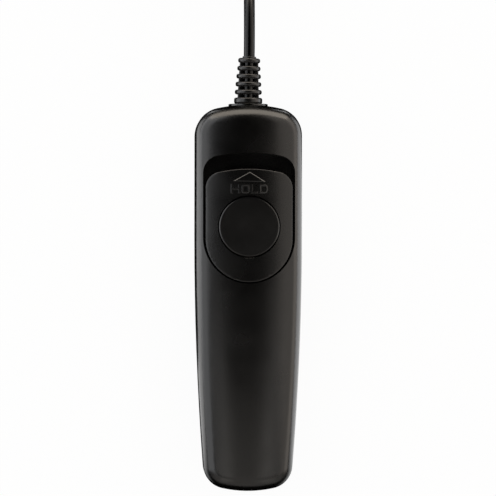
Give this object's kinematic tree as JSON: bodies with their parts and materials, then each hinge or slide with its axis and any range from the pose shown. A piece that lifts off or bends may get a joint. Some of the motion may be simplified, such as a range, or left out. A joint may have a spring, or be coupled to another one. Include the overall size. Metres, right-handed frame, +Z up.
{
  "type": "cable shutter release",
  "caption": "Slim handheld wired camera release: sliding hold plate with a round two-stage button, ribbed strain relief, thin cord and a small jack plug.",
  "frame": {"origin": "on the surface that the handle lies on, under the middle of the handle's length and width", "axes": "+X across the handle, +Y along it towards the cord, +Z up through the button"},
  "size_m": [0.0426, 0.1938, 0.0211],
  "materials": {
    "shell_plastic": "satin black moulded plastic, finely textured",
    "slider_plastic": "satin black moulded plastic, a little smoother than the shells",
    "button_plastic": "matt black moulded plastic with a fine grain",
    "inner_plastic": "plain moulded plastic",
    "contact_metal": "rolled spring strip",
    "screw_steel": "dark zinc plate",
    "relief_rubber": "soft moulded rubber",
    "cord_rubber": "smooth soft cable sheath, slightly glossy",
    "wire_insulation": "thin extruded insulation",
    "tie_plastic": "plastic-covered wire strip",
    "plug_plastic": "black moulded plastic",
    "plug_metal": "thin gold plate, polished",
    "plug_insulation": "moulded insulating rings"
  },
  "bodies": {
    "handle": {"front_shell": "shell_plastic", "rear_shell": "shell_plastic", "contact_block": "inner_plastic", "shutter_leaf": "contact_metal", "lower_spacer": "inner_plastic", "focus_leaf": "contact_metal", "upper_spacer": "inner_plastic", "common_leaf": "contact_metal", "clamp_plate": "screw_steel", "stack_screws": "screw_steel", "block_screws": "screw_steel", "case_screws": "screw_steel", "cord_clamp": "inner_plastic", "clamp_screws": "screw_steel", "strain_relief": "relief_rubber", "cord_jacket": "cord_rubber", "focus_wire": "wire_insulation", "ground_wire": "wire_insulation", "shutter_wire": "wire_insulation", "cord_lead": "cord_rubber", "cord_coil": "cord_rubber", "cord_tie": "tie_plastic", "plug_relief": "cord_rubber", "plug_grip": "plug_plastic", "plug_sleeve": "plug_metal", "plug_ring": "plug_metal", "plug_tip": "plug_metal", "plug_insulators": "plug_insulation"},
    "slider": {"hold_slider": "slider_plastic"},
    "button": {"release_button": "button_plastic"}
  },
  "joints": [
    {"name": "hold_slide", "type": "slide", "parent": "handle", "child": "slider", "axis": [0, 1, 0], "range_m": [0, 0.004]},
    {"name": "button_press", "type": "slide", "parent": "slider", "child": "button", "axis": [0, 0, -1], "range_m": [0, 0.0024], "stiffness_N_per_m": 600, "deforming": ["shutter_leaf", "focus_leaf", "common_leaf"]}
  ]
}
